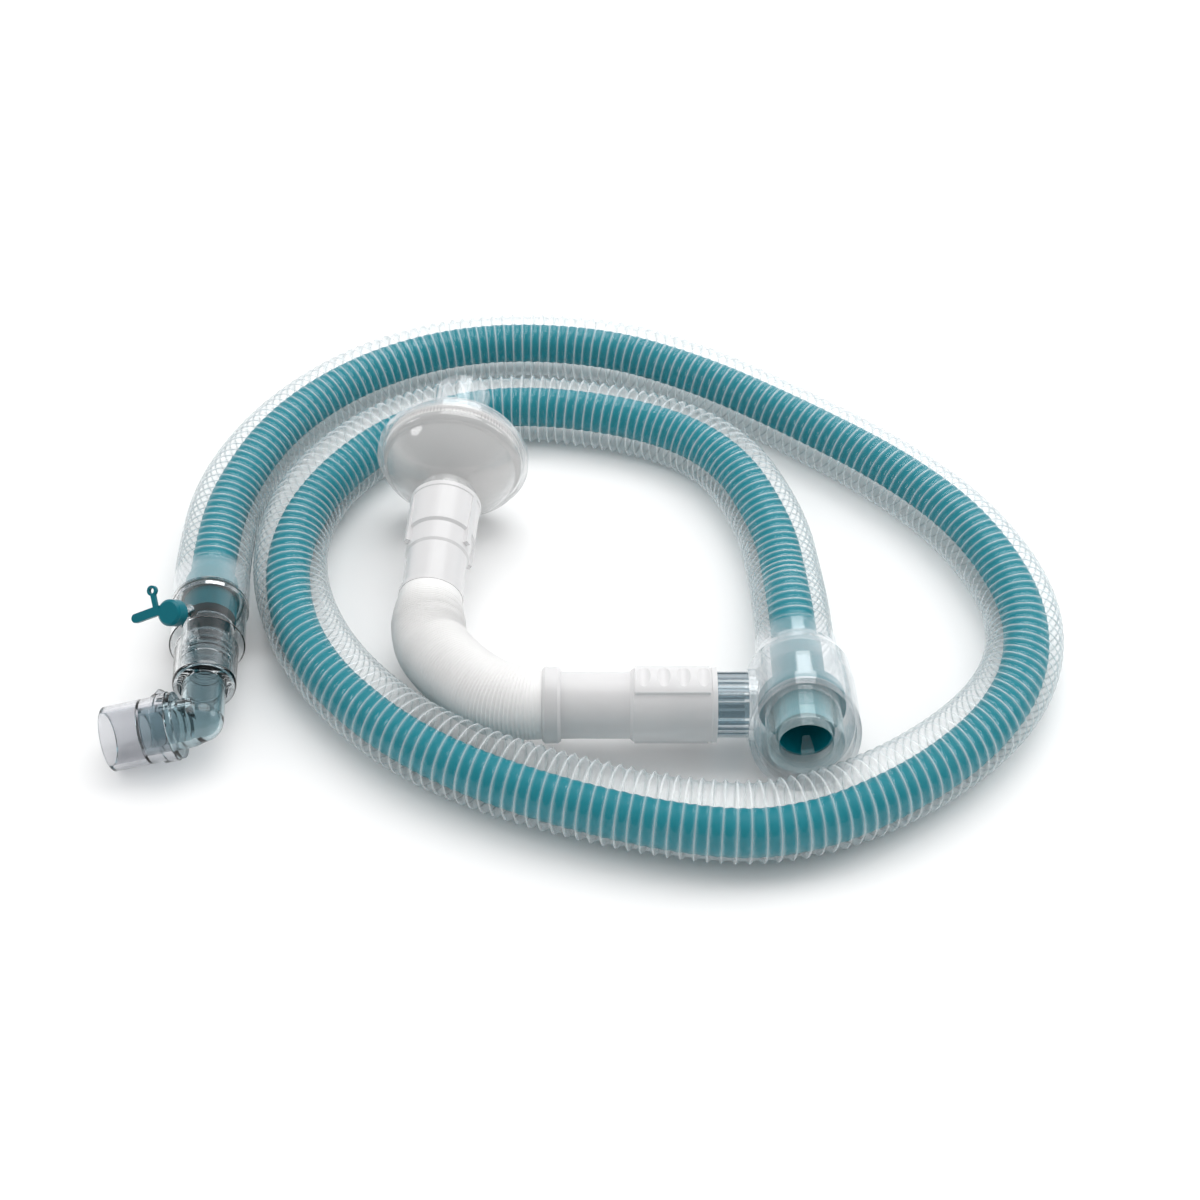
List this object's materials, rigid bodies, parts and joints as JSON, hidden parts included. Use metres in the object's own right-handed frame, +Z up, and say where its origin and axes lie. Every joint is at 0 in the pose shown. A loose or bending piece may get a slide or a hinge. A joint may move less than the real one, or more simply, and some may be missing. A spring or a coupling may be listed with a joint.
{
  "type": "anesthesia breathing circuit",
  "caption": "Coiled coaxial breathing circuit: clear ribbed hose round a teal inner hose, swivel elbow, machine manifold, pleated limb and disc filter.",
  "frame": {"origin": "centre of the bottom of the fittings' bounding box, on the table", "axes": "+Z up, -Y the side nearest the camera, +X to the camera's right"},
  "size_m": [0.3298, 0.3041, 0.0576],
  "materials": {
    "hose_clear": "clear thin-wall plastic with a faint blue tint",
    "clear": "clear moulded plastic, slightly grey",
    "teal": "smooth teal plastic",
    "frosted": "soft frosted white plastic",
    "limb_white": "thin pleated white plastic",
    "filter_frost": "frosted pale grey moulded plastic",
    "medium_white": "white filter paper"
  },
  "bodies": {
    "circuit": {"outer_hose": "hose_clear", "inner_hose": "teal", "patient_hose_cuff": "clear", "patient_connector": "clear", "inner_hose_patient_sleeve": "teal", "inner_tube_holder": "clear", "machine_hose_collar": "clear", "manifold_body": "clear", "inspiratory_port": "clear", "inner_hose_machine_sleeve": "teal", "limb_machine_cuff": "frosted", "limb_machine_ring": "frosted", "expandable_limb": "limb_white", "limb_filter_cuff": "frosted", "filter_front_housing": "filter_frost", "filter_back_housing": "clear", "filter_medium": "medium_white"},
    "elbow": {"patient_elbow": "clear"},
    "port": {"patient_port": "clear"},
    "cap": {"sampling_cap": "teal"}
  },
  "joints": [
    {"name": "elbow_swivel", "type": "hinge", "parent": "circuit", "child": "elbow", "pos_m": [-0.09269, -0.0753, 0.0163], "axis": [0.1056, -0.9939, 0.0311], "continuous": true},
    {"name": "port_swivel", "type": "hinge", "parent": "elbow", "child": "port", "pos_m": [-0.11515, -0.07781, 0.01231], "axis": [-0.9787, -0.1094, -0.1736], "continuous": true},
    {"name": "cap_pull", "type": "slide", "parent": "circuit", "child": "cap", "axis": [-0.3707, -0.6813, 0.6312], "range_m": [0, 0.008]}
  ]
}
